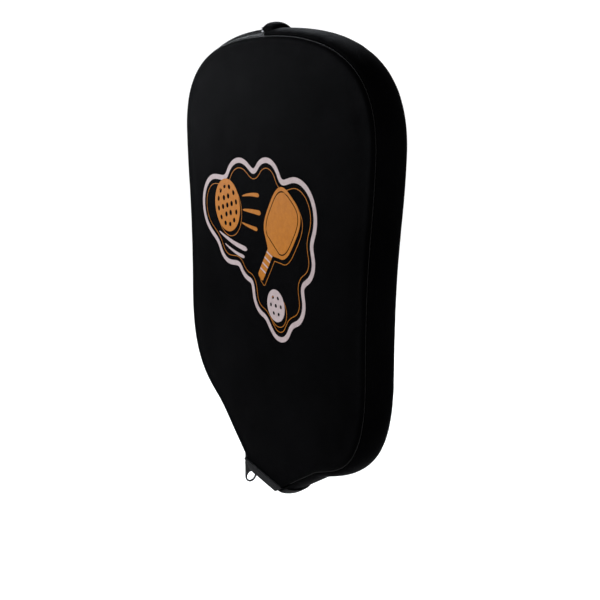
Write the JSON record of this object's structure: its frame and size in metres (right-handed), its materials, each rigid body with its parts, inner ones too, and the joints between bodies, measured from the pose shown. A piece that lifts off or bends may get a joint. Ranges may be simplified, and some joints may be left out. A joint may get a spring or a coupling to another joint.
{
  "type": "zipped neoprene paddle case",
  "caption": "Padded neoprene envelope for a court paddle's head, with a coil zip round one side, a locking slider with a pull, and an open neck for the handle.",
  "frame": {"origin": "middle of the neck opening, level with the neck hem", "axes": "+Z from the neck to the rounded top, -Y out of the printed front, -X towards the zip side"},
  "size_m": [0.219, 0.0232, 0.3098],
  "materials": {
    "neoprene": "matte knitted face with a soft sheen",
    "woven_tape": "matte weave",
    "thread": "matte",
    "coil_nylon": "satin",
    "slider_metal": "satin black",
    "stop_metal": "satin black",
    "spring_steel": "bright",
    "print_film": "flat ink film"
  },
  "bodies": {
    "case": {"front_panel": "neoprene", "back_panel": "neoprene", "side_strip": "neoprene", "end_tab": "neoprene", "zip_tape_front": "woven_tape", "zip_tape_back": "woven_tape", "zip_coil_front": "coil_nylon", "zip_coil_back": "coil_nylon", "bottom_stop": "stop_metal", "top_stop_front": "stop_metal", "top_stop_back": "stop_metal", "neck_binding_front": "woven_tape", "neck_binding_back": "woven_tape", "neck_binding_side": "woven_tape", "seam_thread_front": "thread", "seam_thread_back": "thread", "front_print": "print_film"},
    "zip_slider": {"slider_body": "slider_metal", "slider_crown": "slider_metal", "lock_spring": "spring_steel"},
    "zip_pull": {"pull_tab": "slider_metal"}
  },
  "joints": [
    {"name": "zip_slide", "type": "slide", "parent": "case", "child": "zip_slider", "axis": [-0.7934, 0, 0.6088], "range_m": [0, 0.028]},
    {"name": "pull_swing", "type": "hinge", "parent": "zip_slider", "child": "zip_pull", "pos_m": [-0.03542, 0, 0.0038], "axis": [0, 1, 0], "range_deg": [-45, 120]}
  ]
}
